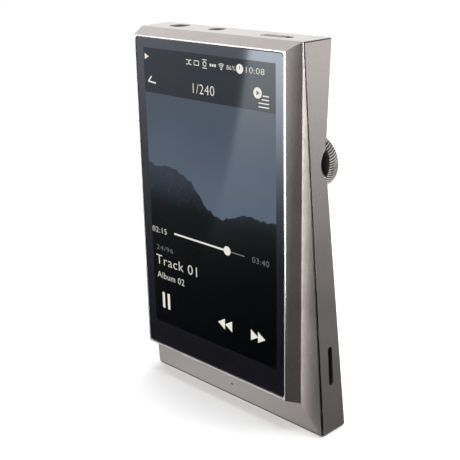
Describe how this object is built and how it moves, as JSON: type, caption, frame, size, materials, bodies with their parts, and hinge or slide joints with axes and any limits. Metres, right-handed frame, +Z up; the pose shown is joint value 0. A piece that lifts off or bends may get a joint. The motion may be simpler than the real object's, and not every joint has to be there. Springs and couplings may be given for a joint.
{
  "type": "digital audio player",
  "caption": "Pocket music player with a faceted metal body, a leaning right side, a raised glass touch screen and a knurled volume wheel.",
  "frame": {"origin": "middle of the whole player's underside", "axes": "+X to the right seen from the screen, +Y from the screen into the body, +Z up to the headphone sockets"},
  "size_m": [0.0712, 0.0152, 0.1116],
  "materials": {
    "blasted_metal": "fine bead-blasted warm grey",
    "side_metal": "fine bead-blasted warm grey, a shade darker",
    "wheel_metal": "machined satin with cut knurl",
    "steel": "plain satin",
    "contact_gold": "gold plated",
    "cover_glass": "clear polished",
    "display": "lit display",
    "rear_inlay": "clear-coated dark weave",
    "black_plastic": "moulded",
    "gasket": "foam and adhesive",
    "circuit_board": "solder mask",
    "flex_film": "polyimide film",
    "battery_pouch": "laminated foil pouch",
    "light_lens": "smoked lens"
  },
  "bodies": {
    "player": {"amplifier_shield": "steel", "balanced_jack": "black_plastic", "balanced_jack_collar": "steel", "base_screw_1": "steel", "base_screw_2": "steel", "battery_connector": "black_plastic", "battery_pack": "battery_pouch", "board_screw_1": "steel", "board_screw_2": "steel", "board_screw_3": "steel", "board_screw_4": "steel", "bottom_plate": "blasted_metal", "card_board": "circuit_board", "card_socket": "black_plastic", "dac_shield": "steel", "display_flex": "flex_film", "display_panel": "display", "dock_contact_1": "contact_gold", "dock_contact_2": "contact_gold", "dock_contact_3": "contact_gold", "dock_contact_4": "contact_gold", "encoder_body": "black_plastic", "front_housing": "blasted_metal", "headphone_jack": "black_plastic", "headphone_jack_collar": "steel", "main_board": "circuit_board", "midframe": "steel", "midframe_screw_1": "steel", "midframe_screw_2": "steel", "midframe_screw_3": "steel", "midframe_screw_4": "steel", "next_switch": "black_plastic", "play_switch": "black_plastic", "power_switch": "black_plastic", "previous_switch": "black_plastic", "processor_shield": "steel", "rear_cover": "blasted_metal", "rear_inlay": "rear_inlay", "right_side_panel": "side_metal", "screen_gasket": "gasket", "screen_glass": "cover_glass", "side_key_board": "circuit_board", "status_light": "light_lens", "usb_board": "circuit_board", "usb_socket": "steel", "wheel_bracket": "steel", "wireless_antenna": "flex_film"},
    "volume": {"volume_wheel": "wheel_metal", "wheel_cap": "wheel_metal", "wheel_spindle": "steel"},
    "power_key": {"power_button": "blasted_metal"},
    "next_key": {"next_button": "blasted_metal"},
    "play_key": {"play_button": "blasted_metal"},
    "previous_key": {"previous_button": "blasted_metal"}
  },
  "joints": [
    {"name": "volume_wheel_spin", "type": "hinge", "parent": "player", "child": "volume", "pos_m": [0.02504, 0.0064, 0.0786], "axis": [0, 1, 0], "continuous": true},
    {"name": "power_press", "type": "slide", "parent": "player", "child": "power_key", "axis": [0, 0, -1], "range_m": [0, 0.00035], "stiffness_N_per_m": 400},
    {"name": "next_press", "type": "slide", "parent": "player", "child": "next_key", "axis": [1, 0, 0], "range_m": [0, 0.00035], "stiffness_N_per_m": 400},
    {"name": "play_press", "type": "slide", "parent": "player", "child": "play_key", "axis": [1, 0, 0], "range_m": [0, 0.00035], "stiffness_N_per_m": 400},
    {"name": "previous_press", "type": "slide", "parent": "player", "child": "previous_key", "axis": [1, 0, 0], "range_m": [0, 0.00035], "stiffness_N_per_m": 400}
  ]
}
